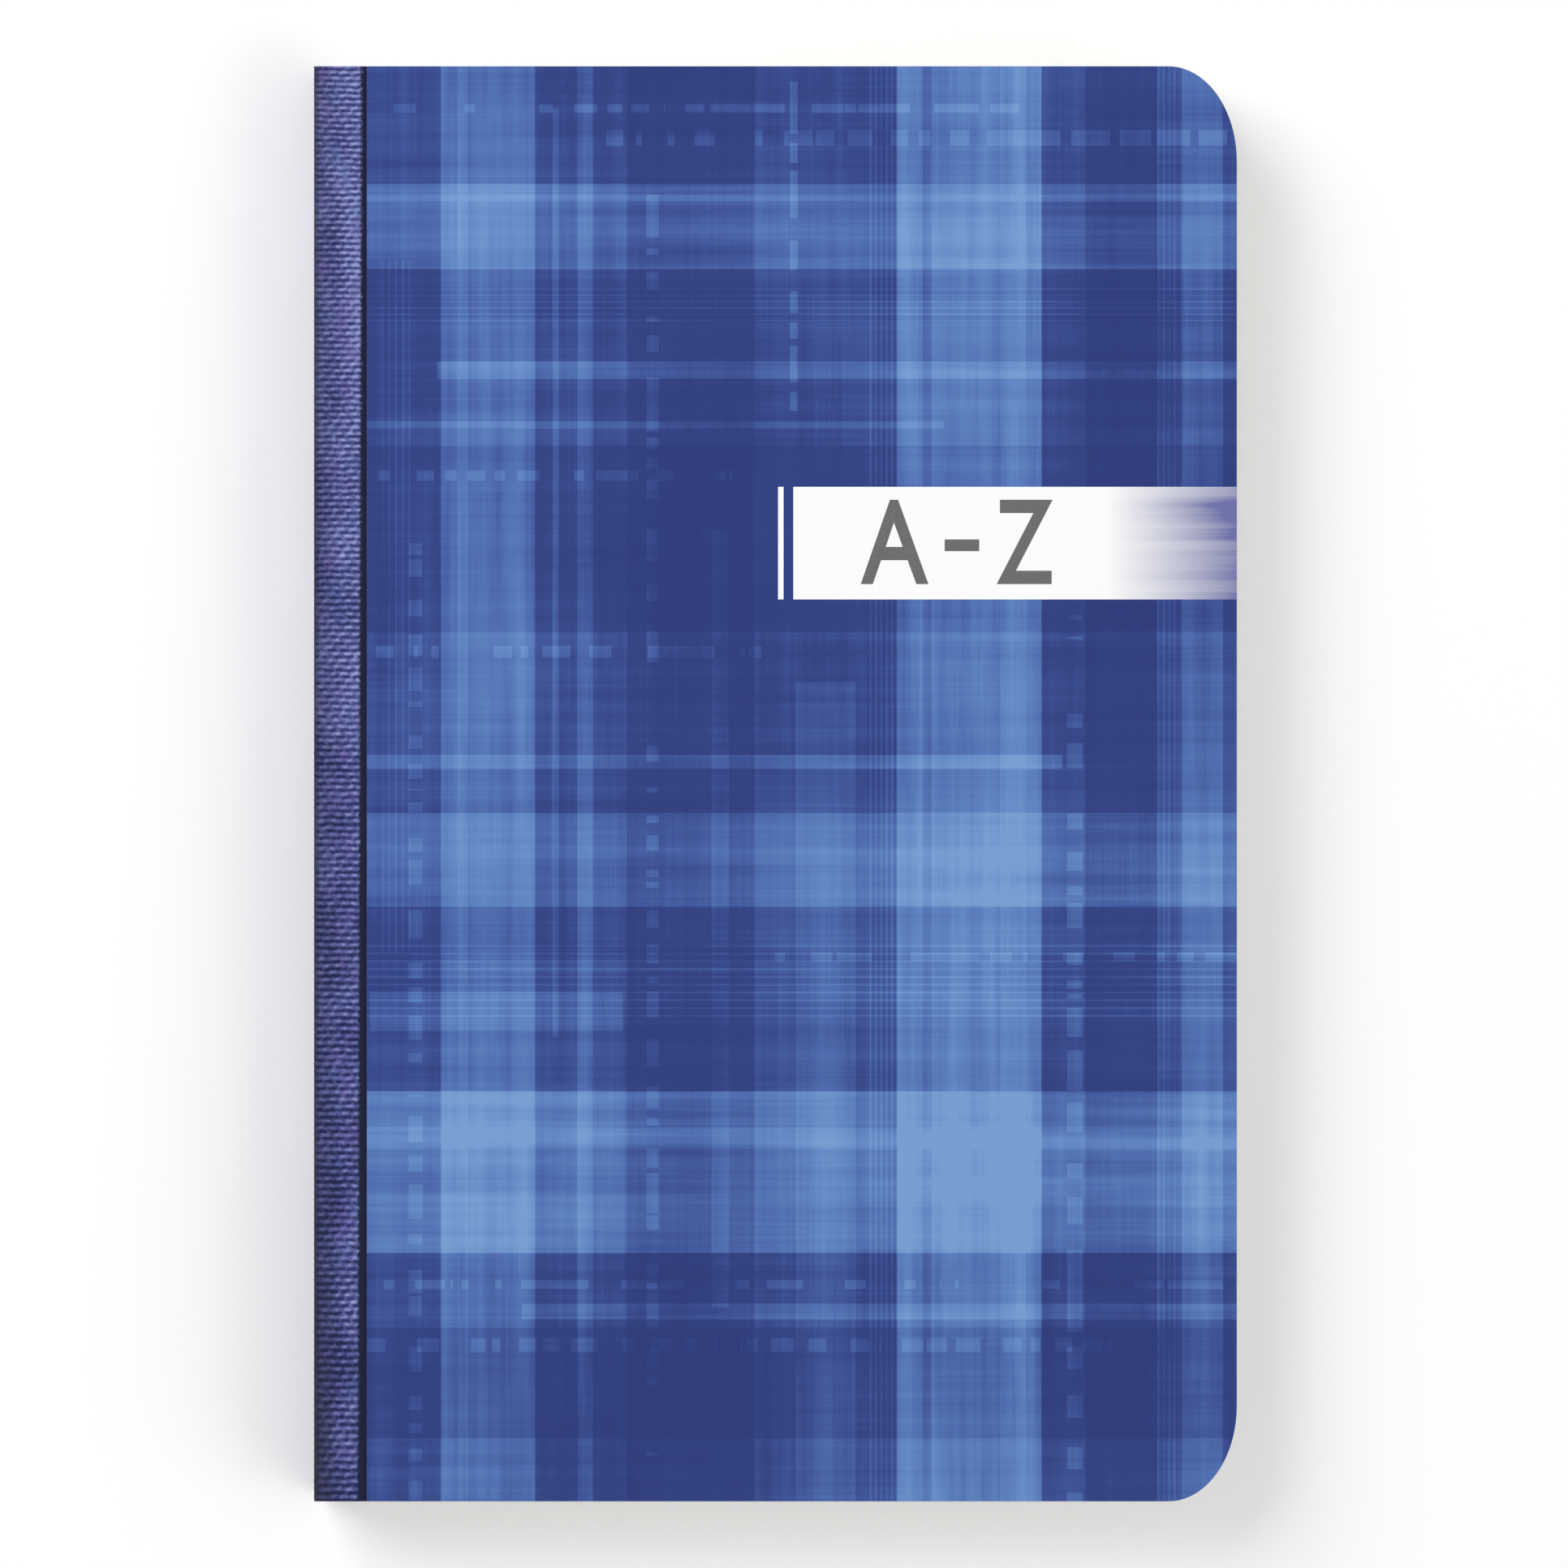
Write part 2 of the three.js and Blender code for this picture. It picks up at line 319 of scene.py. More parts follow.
def folded_sheets_tree():
    """Geometry nodes: nested folded sheets from one flat, unfolded one."""
    lengths = ("Thickness", "Gap", "Centre", "Level", "Allowance")
    tree, given = geometry_tree("folded_sheets", lengths, Sheets="Int", Paper="Material")
    # closed flat sheets, numbered from the inside
    drawn_up = {"Mesh": given["Geometry"], "Individual": False, "Offset Scale": given["Thickness"]}
    thick = made(tree, "GeometryNodeExtrudeMesh", drawn_up)
    under = made(tree, "GeometryNodeFlipFaces", {"Mesh": given["Geometry"]})
    both = place(tree, "GeometryNodeJoinGeometry")
    for side in (thick, under):
        tree.links.new(side, both.inputs[0])
    closed = made(tree, "GeometryNodeMergeByDistance", {"Geometry": both.outputs[0], "Distance": NEAR})
    one = made(tree, "GeometryNodeGeometryToInstance", {"Geometry": closed})
    sheets = {"Geometry": one, "Amount": given["Sheets"]}
    copies = place(tree, "GeometryNodeDuplicateElements", sheets, domain="INSTANCE").outputs
    numbers = {"Geometry": copies["Geometry"], "Name": "sheet", "Value": copies["Duplicate Index"]}
    numbered = made(tree, "GeometryNodeStoreNamedAttribute", numbers, data_type="INT", domain="INSTANCE")
    real = made(tree, "GeometryNodeRealizeInstances", {"Geometry": numbered})
    # each wrapped round the fold at its own radius
    position = made(tree, "GeometryNodeInputPosition")
    along, height, depth = place(tree, "ShaderNodeSeparateXYZ", {"Vector": position}).outputs
    sheet = made(tree, "GeometryNodeInputNamedAttribute", {"Name": "sheet"}, data_type="INT")
    step = maths(tree, "ADD", given["Thickness"], given["Gap"])
    inner = scaled(tree, sheet, step, maths(tree, "DIVIDE", given["Gap"], 2.0))
    radius = maths(tree, "ADD", inner, depth)
    share = maths(tree, "DIVIDE", along, given["Allowance"])
    limited = maths(tree, "MINIMUM", maths(tree, "MAXIMUM", share, -1.0), 1.0)
    angle = product(tree, limited, math.pi / 2)
    beyond = maths(tree, "SUBTRACT", maths(tree, "ABSOLUTE", along), given["Allowance"])
    straight = maths(tree, "MAXIMUM", beyond, 0.0)
    out = maths(tree, "SUBTRACT", straight, product(tree, radius, maths(tree, "COSINE", angle)))
    x = maths(tree, "ADD", given["Centre"], out)
    z = scaled(tree, radius, maths(tree, "SINE", angle), given["Level"])
    folded = made(tree, "ShaderNodeCombineXYZ", {"X": x, "Y": height, "Z": z})
    bent = made(tree, "GeometryNodeSetPosition", {"Geometry": real, "Position": folded})
    return end_tree(tree, bent, given["Paper"])


def plain_mesh(piece):
    """A plain mesh of what a piece's modifier or letters make."""
    graph = bpy.context.evaluated_depsgraph_get()
    return bpy.data.meshes.new_from_object(piece.evaluated_get(graph), depsgraph=graph)


def settle(piece, tree, values):
    """Runs a geometry tree on a piece and keeps the plain mesh that it makes."""
    modifier = piece.modifiers.new(tree.name, "NODES")
    modifier.node_group = tree
    for item in tree.interface.items_tree:
        if item.in_out == "INPUT" and item.name in values:
            modifier[item.identifier] = values[item.name]
    mesh = plain_mesh(piece)
    piece.modifiers.remove(modifier)
    piece.data = mesh


def new_piece(name, data):
    """A new object in the scene."""
    piece = bpy.data.objects.new(name, data)
    bpy.context.scene.collection.objects.link(piece)
    return piece


def finished_mesh(name, work):
    """A plain mesh of what was shaped."""
    mesh = bpy.data.meshes.new(name)
    work.to_mesh(mesh)
    work.free()
    return mesh


def keep_closed_places(piece):
    """Stores each point's place in the closed book, and which faces are cut edges."""
    mesh = piece.data
    places = mesh.attributes.new("closed_place", "FLOAT_VECTOR", "POINT")
    places.data.foreach_set("vector", [part for vertex in mesh.vertices for part in vertex.co])
    edges = mesh.attributes.new("cut_edge", "FLOAT", "FACE")
    edges.data.foreach_set("value", [float(abs(face.normal.z) < 0.5) for face in mesh.polygons])


def printed_letters(text, centre, tall, most_wide, heavier=0.0):
    """Flat letters in place around a centre, as tall as asked and at most so wide."""
    curve = bpy.data.curves.new("letters", "FONT")
    curve.body = text
    curve.size = tall * TYPE_TO_CAPITALS
    curve.offset = heavier
    curve.extrude = INK_STANDS / 2
    curve.resolution_u = 6
    holder = new_piece("letters", curve)
    mesh = plain_mesh(holder)
    bpy.data.objects.remove(holder)
    (low_x, high_x), (low_y, high_y), _ = ((min(c), max(c)) for c in zip(*(v.co for v in mesh.vertices)))
    stretch = tall / (high_y - low_y)
    squeeze = min(stretch, most_wide / (high_x - low_x))
    middle = Vector(((low_x + high_x) / 2, (low_y + high_y) / 2, 0))
    fitted = Matrix.Diagonal((squeeze, stretch, 1, 1))
    mesh.transform(Matrix.Translation(centre) @ fitted @ Matrix.Translation(-middle))
    return mesh


def joined(piece, extra, material):
    """Adds an extra mesh to a piece, in its own material."""
    piece.data.materials.append(material)
    number = len(piece.data.materials) - 1
    work = bmesh.new()
    work.from_mesh(piece.data)
    before = len(work.faces)
    work.from_mesh(extra)
    work.faces.ensure_lookup_table()
    for face in work.faces[before:]:
        face.material_index = number
        face.smooth = False
    work.to_mesh(piece.data)
    work.free()


folded_sheets = folded_sheets_tree()


def folded_paper(name, node, sheets, thickness, gap, material, tab_foot=None):
    """Folded sheets in a CAD node's place, with the fore edge cut off below the foot of a tab."""
    low, high = (Vector(corner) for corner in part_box(node))
    middle = (low.z + high.z) / 2
    outer_radius = (high.z - low.z) / 2
    centre = low.x + outer_radius
    bend_start = max(BEND_FROM, outer_radius)
    lines = [low.x + bend_start + (BEND_TO - bend_start) * (i + 1) / BEND_STEPS for i in range(BEND_STEPS)]
    panel = flat_panel(trimmed_outline(centre), [*lines, tab_from])
    if tab_foot is not None:
        tab_faces = [f for f in panel.faces if f.calc_center_median().x > tab_from]
        edges = {e for f in tab_faces for e in f.edges}
        parts = [*{v for e in edges for v in e.verts}, *edges, *tab_faces]
        bmesh.ops.bisect_plane(panel, geom=parts, plane_co=(0, tab_foot, 0), plane_no=(0, 1, 0), dist=NEAR)
        middles = [(f, f.calc_center_median()) for f in panel.faces]
        gone = [f for f, at in middles if at.x > tab_from and at.y < tab_foot]
        bmesh.ops.delete(panel, geom=gone, context="FACES")
    bmesh.ops.translate(panel, verts=panel.verts, vec=(FOLD_ALLOWANCE - centre, 0, 0))
    strip_edges = [FOLD_ALLOWANCE * i / FOLD_STEPS for i in range(FOLD_STEPS + 1)]
    for left, right in zip(strip_edges, strip_edges[1:]):
        corners = [(left, book_low.y), (right, book_low.y), (right, book_high.y), (left, book_high.y)]
        panel.faces.new([panel.verts.new((x, y, 0)) for x, y in corners])
    mirrored = bmesh.ops.duplicate(panel, geom=panel.verts[:] + panel.edges[:] + panel.faces[:])["geom"]
    for vertex in (part for part in mirrored if isinstance(part, bmesh.types.BMVert)):
        vertex.co.x = -vertex.co.x
    bmesh.ops.remove_doubles(panel, verts=panel.verts, dist=NEAR)
    panel.normal_update()
    for face in panel.faces:
        if face.normal.z < 0:
            face.normal_flip()
    piece = new_piece(name, finished_mesh(name, panel))
    settle(piece, folded_sheets, {
        "Sheets": sheets, "Thickness": thickness, "Gap": gap, "Centre": centre,
        "Level": middle, "Allowance": FOLD_ALLOWANCE, "Paper": material,
    })
    return piece


turning_order = ["back_endpaper", *(f"section_{label}" for label in reversed(INDEX_LABELS)), "front_endpaper"]
parent_of = dict(zip(turning_order, ["spine", *turning_order]))


def bind(piece, node):
    """Stores the piece's places in the closed book, hides its CAD node and bakes its transform."""
    keep_closed_places(piece)
    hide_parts(node)
    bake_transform(piece)


for row, label in enumerate(INDEX_LABELS):
    node = f"section_{label}"
    tab_foot = None if label == INDEX_LABELS[-1] else book_high.y - (row + 1) * tab_height
    name = f"leaves_{label}"
    section = folded_paper(name, node, SHEETS_IN_SECTION, LEAF_THICK, LEAF_GAP, leaf_paper, tab_foot)
    tall = TAB_LETTER_TALL if len(label) == 1 else TAB_LETTERS_TALL
    middle_y = max(-TAB_LETTER_LIMIT, min(TAB_LETTER_LIMIT, book_high.y - (row + 0.5) * tab_height))
    tab_to = fore_edge_at(abs(middle_y) + tall / 2)
    letter_at = Vector(((tab_from + tab_to) / 2, middle_y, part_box(node)[1][2] + INK_STANDS / 2))
    joined(section, printed_letters(label, letter_at, tall, tab_to - tab_from - 2 * TAB_MARGIN), index_ink)
    bind(section, node)


# Endpapers. A folded sheet of heavier, bluish white paper lies in front of the sections and another
# behind them. Each is tipped to the fold of the section next to it.
ENDPAPER_THICK = 0.124 * MM
ENDPAPER_GAP = 0.012 * MM

endpaper_stock = paper_finish("endpaper_stock", srgb(236, 239, 246))
for node in ("front_endpaper", "back_endpaper"):
    endpaper = folded_paper(f"{node}_sheet", node, 1, ENDPAPER_THICK, ENDPAPER_GAP, endpaper_stock)
    bind(endpaper, node)


# Spine lining. A strip of crepe paper is glued over the sewn folds before the cloth goes on. It is
# made in one slice to each fold here, because each slice stays with the fold that it is glued to.
SLICE_REACH = 0.015 * MM  # how far a slice goes past its own fold, almost to the next slice
LINING_INSET = 0.4 * MM  # how far it stops short of the head and foot

lining_low, lining_high = (Vector(corner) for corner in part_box("spine_lining"))


def glued_slices(lowest, highest, *faces):
    """The node and body of the slice glued behind each fold, and its outer and inner lines."""
    for node in turning_order[1:]:
        low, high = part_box(node)
        low_z = max(low[2] - SLICE_REACH, lowest)
        high_z = min(high[2] + SLICE_REACH, highest)
        yield node, parent_of[node], *([(x, low_z), (x, high_z)] for x in faces)


def crepe_finish():
    """Creamy crepe paper, with fine cross wrinkles and the shine of dried glue in places."""
    material, tree, shader = finish_named("lining_crepe")
    place_at, *_ = rest_places(tree)
    wrinkle = grained(tree, place_at, (900, 3800, 900), 3)
    glue = grained(tree, place_at, (200, 200, 200))
    connect(tree, shader, {
        # darker in the hollows of the wrinkles, a painted shade
        "Base Color": blended(tree, wrinkle, srgb(198, 188, 160), srgb(236, 229, 208)),
        "Normal": relief(tree, 0.6, 0.05 * MM, wrinkle),
        "Roughness": ramped(tree, glue, 0.0, 1.0, 0.85, 0.45),
    })
    return material


def strip_solid(name, outer, inner, heights):
    """A strip through given heights, between an outer and an inner line that run in step."""
    work = bmesh.new()
    ring = [*outer, *reversed(inner)]
    rows = [[work.verts.new((x, y, z)) for x, z in ring] for y in heights]
    for below, above in zip(rows, rows[1:]):
        for i in range(len(ring)):
            j = (i + 1) % len(ring)
            work.faces.new([below[i], below[j], above[j], above[i]])
    count = len(outer)
    for row in (rows[0], rows[-1]):
        for i in range(count - 1):
            work.faces.new([row[i], row[i + 1], row[-i - 2], row[-i - 1]])
    bmesh.ops.recalc_face_normals(work, faces=work.faces)
    return new_piece(name, finished_mesh(name, work))


lining_crepe = crepe_finish()
lining_heights = [book_low.y + LINING_INSET, book_high.y - LINING_INSET]
for node, body, outer, inner in glued_slices(lining_low.z, lining_high.z, lining_low.x, lining_high.x):
    lining = strip_solid(f"lining_behind_{node}", outer, inner, lining_heights)
    lining.data.materials.append(lining_crepe)
    keep_closed_places(lining)
    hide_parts("spine_lining")
    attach(lining, body)


# Sewing. White cotton thread runs in and out of each fold at five stations, and a small loop on the
# back of each fold links it to the one behind.
THREAD_WIDTH = 0.2 * MM
STITCH_LENGTH = 3.4 * MM
STITCH_SIDES = 6
STITCH_STEPS = 8
TWIST_PITCH = 0.3 * MM
STATIONS = [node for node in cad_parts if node.startswith("sewing_thread_")]

thread_x = sum(Vector(corner).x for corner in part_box(STATIONS[0])) / 2


def stitches_tree():
    """Geometry nodes: the same stitch of thread at each station."""
    tree, given = geometry_tree("stitches", ("Length", "Width"), Thread="Material")
    half = product(tree, given["Length"], 0.5)
    lift = product(tree, given["Width"], 0.5)
    ways = (
        {"X": lift, "Y": product(tree, half, -1.0)},
        {"X": product(tree, lift, -1.0), "Z": lift},
        {"X": lift, "Y": half},
    )
    start, bow, end = (made(tree, "ShaderNodeCombineXYZ", way) for way in ways)
    bend = {"Resolution": STITCH_STEPS, "Start": start, "Middle": bow, "End": end}
    path = made(tree, "GeometryNodeCurveQuadraticBezier", bend)
    around = made(tree, "GeometryNodeCurvePrimitiveCircle", {"Resolution": STITCH_SIDES, "Radius": lift})
    tube = made(tree, "GeometryNodeCurveToMesh", {"Curve": path, "Profile Curve": around, "Fill Caps": True})
    sewn = made(tree, "GeometryNodeInstanceOnPoints", {"Points": given["Geometry"], "Instance": tube})
    return end_tree(tree, sewn, given["Thread"])


def thread_finish():
    """Undyed cotton thread, with its twist as a fine diagonal relief."""
    material, tree, shader = finish_named("cotton_thread")
    _, _, y, z = rest_places(tree)
    twist = maths(tree, "SINE", product(tree, maths(tree, "ADD", y, z), 2 * math.pi / TWIST_PITCH))
    ply = ramped(tree, twist, -1.0, 1.0)
    connect(tree, shader, {
        # darker in the grooves of the twist, a painted shade
        "Base Color": blended(tree, ply, srgb(214, 208, 194), srgb(248, 245, 236)),
        "Normal": relief(tree, 0.5, 0.03 * MM, ply),
        "Roughness": 0.85,
    })
    return material


stitches = stitches_tree()
cotton_thread = thread_finish()
station_heights = [sum(corner[1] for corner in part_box(node)) / 2 for node in STATIONS]
for label in INDEX_LABELS:
    node = f"section_{label}"
    low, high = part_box(node)
    points = bpy.data.meshes.new(f"stitches_{label}")
    points.from_pydata([(thread_x, y, (low[2] + high[2]) / 2) for y in station_heights], [], [])
    sewing = new_piece(f"stitches_{label}", points)
    settle(sewing, stitches, {"Length": STITCH_LENGTH, "Width": THREAD_WIDTH, "Thread": cotton_thread})
    keep_closed_places(sewing)
    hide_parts(*STATIONS)
    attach(sewing, parent_of[node])


# Spine cloth. A ribbed tape of dyed cotton is glued over the spine and onto both covers. Beside its
# edge a groove is pressed where the covers fold, its dark painted in as shade. Its ribs run across it, from
# cover to cover.
CLOTH_INSET = 0.02 * MM  # how far the top of a rib lies under the outer face of the book
CLOTH_THICK = 0.23 * MM
CLOTH_BEND = 0.6 * MM
BEND_SEGMENTS = 6
RIB_PITCH_AT_HEAD = 0.70 * MM  # the tape is drawn out towards the foot
RIB_PITCH_AT_FOOT = 0.90 * MM
RIB_RELIEF = 0.05 * MM
RIB_ROWS = 6
RIB_WAVER = 0.36 * MM
WARP_PITCH = 1.35 * MM
WARP_LEAN = 1.1 * MM
FRAY = 0.9 * MM
RIBS_END = 5.56 * MM  # from the spine's face, halfway up the book
RIBS_ASKEW = 0.0028  # the tape is glued on a little askew, so its ribs reach further at the head
GROOVE_FROM = 5.62 * MM
GROOVE_TO = 6.2 * MM
GROOVE_DEEP = 0.12 * MM
TAPE_EDGE = 6.32 * MM
COVER_FOLD_FROM = 5.5 * MM
COVER_FOLD_TO = 6.18 * MM
COVER_FOLD_STEPS = 14
GREYED = (3.4 * MM, 0.6 * MM)  # from the corner of the spine, where the painted shade at its bend starts and where it is full
FOOT_BEND_SHADE = (3.2 * MM, 0.2 * MM)
DARKENED = (0.85 * MM, 0.35 * MM)
NEAR_FOOT = (50 * MM, 5 * MM)  # the same, above the foot

spine_x = book_low.x
bend_z = book_high.z - CLOTH_BEND
tape_face_x = spine_x + CLOTH_INSET + RIB_RELIEF
rib_growth = (RIB_PITCH_AT_FOOT - RIB_PITCH_AT_HEAD) / (book_high.y - book_low.y)
rib_count = math.log(RIB_PITCH_AT_FOOT / RIB_PITCH_AT_HEAD) / rib_growth
cover_fold_step = (COVER_FOLD_TO - COVER_FOLD_FROM) / COVER_FOLD_STEPS
cover_fold_lines = [COVER_FOLD_FROM + cover_fold_step * i for i in range(COVER_FOLD_STEPS + 1)]


def rib_number(tree, height, head, first_pitch, growth):
    """How many ribs lie above a height, where each is a little wider than the last."""
    down = maths(tree, "SUBTRACT", head, height)
    drawn_out = scaled(tree, maths(tree, "DIVIDE", down, first_pitch), growth, 1.0)
    return maths(tree, "DIVIDE", maths(tree, "LOGARITHM", drawn_out, math.e), growth)


def wave(tree, turns):
    """Falls from 1 to 0 and rises again with every turn."""
    return scaled(tree, maths(tree, "COSINE", product(tree, turns, 2 * math.pi)), 0.5, 0.5)


def ribs_tree():
    """Geometry nodes: raises ribs on the outside of the tape, uneven as woven yarn is."""
    tree, given = geometry_tree("tape_ribs", ("Head", "Pitch", "Growth", "Relief"), Cloth="Material")
    outside = made(tree, "GeometryNodeInputNamedAttribute", {"Name": "ribbed"}, data_type="FLOAT")
    position = made(tree, "GeometryNodeInputPosition")
    height = place(tree, "ShaderNodeSeparateXYZ", {"Vector": position}).outputs["Y"]
    rows = rib_number(tree, height, given["Head"], given["Pitch"], given["Growth"])
    uneven = made(tree, "ShaderNodeTexNoise", {"Vector": position, "Scale": 900, "Detail": 1})
    yarn = product(tree, wave(tree, rows), scaled(tree, uneven, 0.8, 0.4))
    rise = product(tree, yarn, outside, given["Relief"])
    normal = made(tree, "GeometryNodeInputNormal")
    outward = made(tree, "ShaderNodeVectorMath", {0: normal, 1: (1, 0, 1)}, operation="MULTIPLY")
    offset = made(tree, "ShaderNodeVectorMath", {0: outward, "Scale": rise}, operation="SCALE")
    moved = {"Geometry": given["Geometry"], "Offset": offset}
    return end_tree(tree, made(tree, "GeometryNodeSetPosition", moved), given["Cloth"])


def toned(tree, value, steps):
    """A colour looked up by a value, from steps of place and colour."""
    ramp = place(tree, "ShaderNodeValToRGB", {"Fac": value})
    elements = ramp.color_ramp.elements
    while len(elements) < len(steps):
        elements.new(0.5)
    for element, (at, colour) in zip(elements, steps):
        element.position = at
        element.color = colour
    return ramp.outputs["Color"]


def ribbed_cloth_finish():
    """Violet-blue cotton: light ribs, gaps that the warp bridges, slubs and a groove; the dark of the gaps
    and the black of the groove are painted shade.
    """
    material, tree, shader = finish_named("ribbed_cloth")
    place_at, x, y, z = rest_places(tree)
    from_face = maths(tree, "MINIMUM", z, maths(tree, "SUBTRACT", book_high.z, z))
    from_corner = maths(tree, "ADD", maths(tree, "SUBTRACT", x, spine_x), from_face)
    grains = (((700, 260, 700), 3, 0), ((2000, 2300, 2000), 2, 5), ((300, 180, 300), 3, 9))
    waver, yarn, slub = (maths(tree, "SUBTRACT", grained(tree, place_at, *values), 0.5) for values in grains)
    wavering = scaled(tree, waver, RIB_WAVER, y)
    row = rib_number(tree, wavering, book_high.y, RIB_PITCH_AT_HEAD, rib_growth)
    rib = wave(tree, row)
    leaning = scaled(tree, slub, WARP_LEAN, from_corner)

    def crossing(number, shift):
        """How much the warp shows in a row of the weave, where it changes sides with every row."""
        shuffle = made(tree, "ShaderNodeTexWhiteNoise", {"W": number}, noise_dimensions="1D")
        across = scaled(tree, shuffle, 0.22, maths(tree, "DIVIDE", leaning, WARP_PITCH))
        return wave(tree, scaled(tree, number, 0.5, maths(tree, "ADD", across, shift)))

    warp = crossing(maths(tree, "FLOOR", row), 0)
    nub = crossing(maths(tree, "FLOOR", maths(tree, "ADD", row, 0.5)), -0.25)
    uneven = maths(tree, "ADD", yarn, slub)
    bridged = ramped(tree, maths(tree, "ADD", uneven, warp), 0.6, 1.2, 0.85)
    # painted shade in the gaps between ribs, where the warp does not bridge them
    sunk = ramped(tree, scaled(tree, yarn, 0.25, rib), 0.8, 0.1)
    dark = product(tree, sunk, maths(tree, "SUBTRACT", 1.0, bridged))
    # its tone: lighter towards the head, and painted shade that darkens it towards the spine
    wear_and_shade = ramped(tree, x, spine_x, spine_x + RIBS_END, 0.13, -0.15)
    shade_and_height_tone = maths(tree, "ADD", wear_and_shade, ramped(tree, y, book_low.y, book_high.y, 0.645, 0.395))
    raised = product(tree, rib, scaled(tree, nub, 0.28, 0.06))
    spun = scaled(tree, uneven, 0.68, maths(tree, "ADD", raised, shade_and_height_tone))
    tone = scaled(tree, dark, -0.37, spun)
    # redder and bluer patches in the dye
    cloth_colour = toned(tree, tone, [
        (0.0, srgb(28, 32, 74)), (0.2, srgb(43, 48, 98)), (0.45, srgb(67, 73, 126)),
        (0.7, srgb(98, 104, 162)), (1.0, srgb(148, 158, 208)),
    ])
    for seed, hue in ((13, srgb(112, 88, 164)), (17, srgb(78, 104, 162))):
        patch = ramped(tree, grained(tree, place_at, (400, 250, 400), 2, seed), 0.52, 0.72, 0.6)
        cloth_colour = blended(tree, product(tree, patch, tone), cloth_colour, hue)
    # painted shade at the spine's bend: greyer near it, darkest at its corner and darker still near the foot
    greyed = product(tree, ramped(tree, from_corner, *GREYED, 0.5), tone)
    cloth_colour = blended(tree, greyed, cloth_colour, srgb(80, 78, 100))
    near_foot = ramped(tree, y, *(book_low.y + above for above in NEAR_FOOT))
    foot_bend_shade = product(tree, ramped(tree, from_corner, *FOOT_BEND_SHADE, 0.75), near_foot)
    for share in (ramped(tree, from_corner, *DARKENED, 0.8), foot_bend_shade):
        cloth_colour = blended(tree, share, cloth_colour, srgb(38, 38, 50))
    # painted shade: dark past the frayed ends of the ribs, and darker still in the pressed groove beside them
    frayed = scaled(tree, yarn, FRAY, scaled(tree, y, -RIBS_ASKEW, x))
    groove_edge_shade = ramped(tree, frayed, spine_x + RIBS_END - 0.25 * MM, spine_x + RIBS_END + 0.06 * MM)
    cloth_colour = blended(tree, groove_edge_shade, cloth_colour, srgb(26, 33, 56))
    groove_shade = ramped(tree, x, spine_x + GROOVE_FROM + 0.14 * MM, spine_x + GROOVE_TO - 0.1 * MM)
    cloth_colour = blended(tree, groove_shade, cloth_colour, srgb(24, 21, 54))
    connect(tree, shader, {
        "Base Color": cloth_colour, "Normal": relief(tree, 0.6, 0.06 * MM, tone), "Roughness": 0.85,
        "Specular IOR Level": 0.15, "Sheen Weight": 0.1, "Sheen Roughness": 0.5,
    })
    return material


def ribbed_tape(name, outer, inner, ribbed_until):
    """A length of tape with ribs outside, as far as ribbed_until."""
    count = round(rib_count * RIB_ROWS)
    numbers = [rib_count * i / count for i in range(count, -1, -1)]
    to_origin = RIB_PITCH_AT_HEAD / rib_growth  # above the head, where the pitch would be nothing
    heights = [book_high.y - to_origin * math.expm1(number * rib_growth) for number in numbers]
    tape = strip_solid(name, outer, inner, heights)
    keep_closed_places(tape)
    ribbed = tape.data.attributes.new("ribbed", "FLOAT", "POINT")
    shares = [1.0 if x < ribbed_until else 0.0 for x, _ in outer] + [0.0] * len(inner)
    ribbed.data.foreach_set("value", shares * len(heights))
    settle(tape, tape_ribs, {
        "Head": book_high.y, "Pitch": RIB_PITCH_AT_HEAD, "Growth": rib_growth,
        "Relief": RIB_RELIEF, "Cloth": ribbed_cloth,
    })
    tape.data.attributes.remove(tape.data.attributes["ribbed"])
    return tape


def lap_profile(until_z):
    """The front lap's outer and inner lines, from until_z on the spine round the bend to its edge."""
    top = book_high.z - CLOTH_INSET - RIB_RELIEF
    centre_x = spine_x + CLOTH_BEND
    inner_radius = CLOTH_BEND - CLOTH_THICK
    outer = [(tape_face_x, until_z)]
    inner = [(centre_x - inner_radius, until_z)]
    for line, radius in ((outer, centre_x - tape_face_x), (inner, inner_radius)):
        for i in range(BEND_SEGMENTS + 1):
            angle = math.pi - i * math.pi / 2 / BEND_SEGMENTS
            line.append((centre_x + radius * math.cos(angle), bend_z + radius * math.sin(angle)))
    under = bend_z + inner_radius
    for reach in [2 * MM, 4 * MM, RIBS_END, *cover_fold_lines, TAPE_EDGE]:
        sunk = GROOVE_DEEP if GROOVE_FROM <= reach <= GROOVE_TO else 0
        outer.append((spine_x + reach, top - sunk))
        inner.append((spine_x + reach, under))
    return outer, inner


tape_ribs = ribs_tree()
ribbed_cloth = ribbed_cloth_finish()
first_slice_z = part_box(turning_order[0])[1][2] + SLICE_REACH

for side, until_z in (("front", bend_z), ("back", book_high.z - first_slice_z)):
    profile = lap_profile(until_z)
    if side == "back":
        profile = [[(x, book_high.z - z) for x, z in line] for line in profile]
    lap = ribbed_tape(f"cloth_on_{side}", *profile, spine_x + RIBS_END)
    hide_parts(f"spine_cloth_{side}_lap", "spine_cloth")
    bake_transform(lap)

slices = glued_slices(book_low.z, bend_z - SLICE_REACH, tape_face_x, spine_x + CLOTH_THICK)
for node, body, outer, inner in slices:
    cloth = ribbed_tape(f"cloth_behind_{node}", outer, inner, book_high.x)
    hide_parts("spine_cloth")
    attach(cloth, body)


